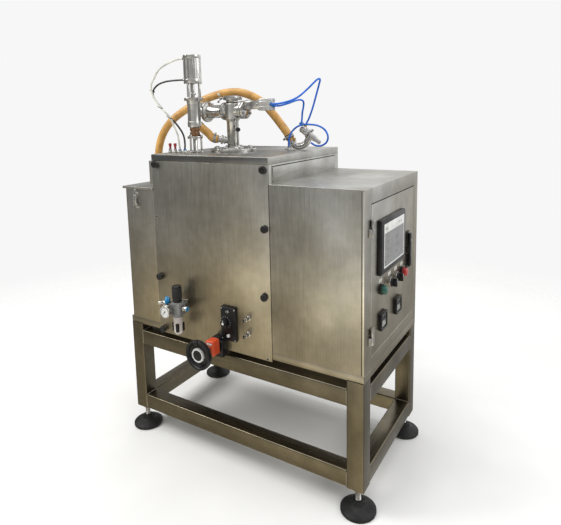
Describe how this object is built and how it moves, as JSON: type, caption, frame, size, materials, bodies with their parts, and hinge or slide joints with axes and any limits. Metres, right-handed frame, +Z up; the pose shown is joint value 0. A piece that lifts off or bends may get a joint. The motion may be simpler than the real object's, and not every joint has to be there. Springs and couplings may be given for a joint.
{
  "type": "piston liquid filler",
  "caption": "Stainless piston liquid filler on a square-tube stand, with product tank, control box, stroke handwheel, air-driven valves and a dosing nozzle.",
  "frame": {"origin": "floor level, under the middle of the machine's footprint", "axes": "+X to the operator's right along the front, +Y from the front panel to the back, +Z up"},
  "size_m": [0.9154, 0.61, 1.288],
  "materials": {
    "stainless": "brushed stainless sheet and tube",
    "polished": "turned and polished stainless fittings",
    "black_plastic": "satin black plastic",
    "black_rubber": "black rubber",
    "anodised_grey": "bead-blasted aluminium",
    "green_plastic": "green gloss",
    "red_plastic": "red gloss",
    "orange_plastic": "orange-red moulding",
    "amber_hose": "amber braided hose",
    "blue_tube": "blue polyurethane tube",
    "black_tube": "black polyurethane tube",
    "clear_tube": "clear polyurethane tube",
    "control_grey": "galvanised plate and grey modules"
  },
  "bodies": {
    "machine": {"leg_front_left": "stainless", "leg_back_left": "stainless", "leg_front_right": "stainless", "leg_back_right": "stainless", "lower_rail_front": "stainless", "lower_rail_back": "stainless", "lower_rail_left": "stainless", "lower_rail_right": "stainless", "upper_rail_front": "stainless", "upper_rail_back": "stainless", "upper_rail_left": "stainless", "upper_rail_right": "stainless", "base_tray": "stainless", "centre_housing": "stainless", "top_plate": "stainless", "front_panel": "stainless", "product_tank": "stainless", "control_box": "stainless", "control_chassis": "control_grey", "position_indicator": "orange_plastic", "filter_regulator": "anodised_grey", "pressure_gauge": "polished", "speed_panel": "black_plastic", "pump_cylinder": "polished", "drive_cylinder": "anodised_grey", "fill_valve_body": "polished", "fill_valve_cylinder": "polished", "cross_valve_body": "polished", "cross_valve_actuator": "polished", "nozzle_body": "polished", "product_hose": "amber_hose", "jumper_hose": "amber_hose", "black_air_tube": "black_tube", "clear_air_tube": "clear_tube", "blue_air_tube_upper": "blue_tube", "blue_air_tube_lower": "blue_tube", "blue_air_tube_loop": "blue_tube"},
    "foot_front_left": {"levelling_foot_front_left": "black_rubber"},
    "foot_front_right": {"levelling_foot_front_right": "black_rubber"},
    "foot_back_left": {"levelling_foot_back_left": "black_rubber"},
    "foot_back_right": {"levelling_foot_back_right": "black_rubber"},
    "lid": {"tank_lid": "stainless"},
    "latch": {"lid_latch": "polished"},
    "door": {"control_door": "stainless", "touch_screen": "black_plastic", "panel_meter_left": "black_plastic", "panel_meter_right": "black_plastic"},
    "handle": {"door_handle": "black_plastic"},
    "start": {"start_button": "green_plastic"},
    "stop": {"stop_button": "red_plastic"},
    "left_selector": {"selector_left": "black_plastic"},
    "right_selector": {"selector_right": "black_plastic"},
    "stroke_wheel": {"handwheel": "black_plastic", "stroke_screw": "polished"},
    "travelling_stop": {"stroke_stop": "black_plastic"},
    "regulator_cap": {"regulator_knob": "black_plastic"},
    "speed_setter": {"speed_knob": "black_plastic"},
    "piston": {"pump_piston": "polished"},
    "valve_stem": {"fill_valve_stem": "polished"},
    "plunger": {"nozzle_plunger": "polished"}
  },
  "joints": [
    {"name": "foot_front_left_turn", "type": "hinge", "parent": "machine", "child": "foot_front_left", "pos_m": [-0.405, -0.155, 0.05], "axis": [0, 0, 1], "range_deg": [-180, 180]},
    {"name": "foot_front_right_turn", "type": "hinge", "parent": "machine", "child": "foot_front_right", "pos_m": [0.405, -0.155, 0.05], "axis": [0, 0, 1], "range_deg": [-180, 180]},
    {"name": "foot_back_left_turn", "type": "hinge", "parent": "machine", "child": "foot_back_left", "pos_m": [-0.405, 0.255, 0.05], "axis": [0, 0, 1], "range_deg": [-180, 180]},
    {"name": "foot_back_right_turn", "type": "hinge", "parent": "machine", "child": "foot_back_right", "pos_m": [0.405, 0.255, 0.05], "axis": [0, 0, 1], "range_deg": [-180, 180]},
    {"name": "lid_hinge", "type": "hinge", "parent": "machine", "child": "lid", "pos_m": [-0.3095, 0.05, 0.8755], "axis": [0, 1, 0], "range_deg": [0, 85]},
    {"name": "latch_pivot", "type": "hinge", "parent": "machine", "child": "latch", "pos_m": [-0.365, -0.1885, 0.8115], "axis": [1, 0, 0], "range_deg": [0, 120]},
    {"name": "door_hinge", "type": "hinge", "parent": "machine", "child": "door", "pos_m": [0.4365, -0.138, 0.65], "axis": [0, 0, -1], "range_deg": [0, 110]},
    {"name": "handle_turn", "type": "hinge", "parent": "door", "child": "handle", "pos_m": [0.43, 0.18, 0.669], "axis": [1, 0, 0], "range_deg": [0, 90]},
    {"name": "start_press", "type": "slide", "parent": "door", "child": "start", "axis": [-1, 0, 0], "range_m": [0, 0.004], "stiffness_N_per_m": 600},
    {"name": "stop_press", "type": "slide", "parent": "door", "child": "stop", "axis": [-1, 0, 0], "range_m": [0, 0.004], "stiffness_N_per_m": 600},
    {"name": "left_selector_turn", "type": "hinge", "parent": "door", "child": "left_selector", "pos_m": [0.43, 0.01, 0.615], "axis": [1, 0, 0], "range_deg": [-45, 45]},
    {"name": "right_selector_turn", "type": "hinge", "parent": "door", "child": "right_selector", "pos_m": [0.43, 0.065, 0.615], "axis": [1, 0, 0], "range_deg": [-45, 45]},
    {"name": "wheel_turn", "type": "hinge", "parent": "machine", "child": "stroke_wheel", "pos_m": [-0.033, -0.18, 0.409], "axis": [0, 1, 0], "range_deg": [0, 7200]},
    {"name": "stop_travel", "type": "slide", "parent": "machine", "child": "travelling_stop", "axis": [0, 1, 0], "range_m": [0, 0.16]},
    {"name": "regulator_turn", "type": "hinge", "parent": "machine", "child": "regulator_cap", "pos_m": [-0.177, -0.216, 0.53], "axis": [0, 0, 1], "range_deg": [0, 720]},
    {"name": "speed_turn", "type": "hinge", "parent": "machine", "child": "speed_setter", "pos_m": [-0.009, -0.19, 0.476], "axis": [0, -1, 0], "range_deg": [-135, 135]},
    {"name": "piston_stroke", "type": "slide", "parent": "machine", "child": "piston", "axis": [0, 0, 1], "range_m": [0, 0.15]},
    {"name": "stem_lift", "type": "slide", "parent": "machine", "child": "valve_stem", "axis": [0, 0, 1], "range_m": [0, 0.025]},
    {"name": "plunger_travel", "type": "slide", "parent": "machine", "child": "plunger", "axis": [-0.8081, 0, 0.5891], "range_m": [0, 0.008]}
  ],
  "couplings": [
    {"joint": "stop_travel", "follows": "wheel_turn", "m_per_rad": 0.0012732}
  ]
}
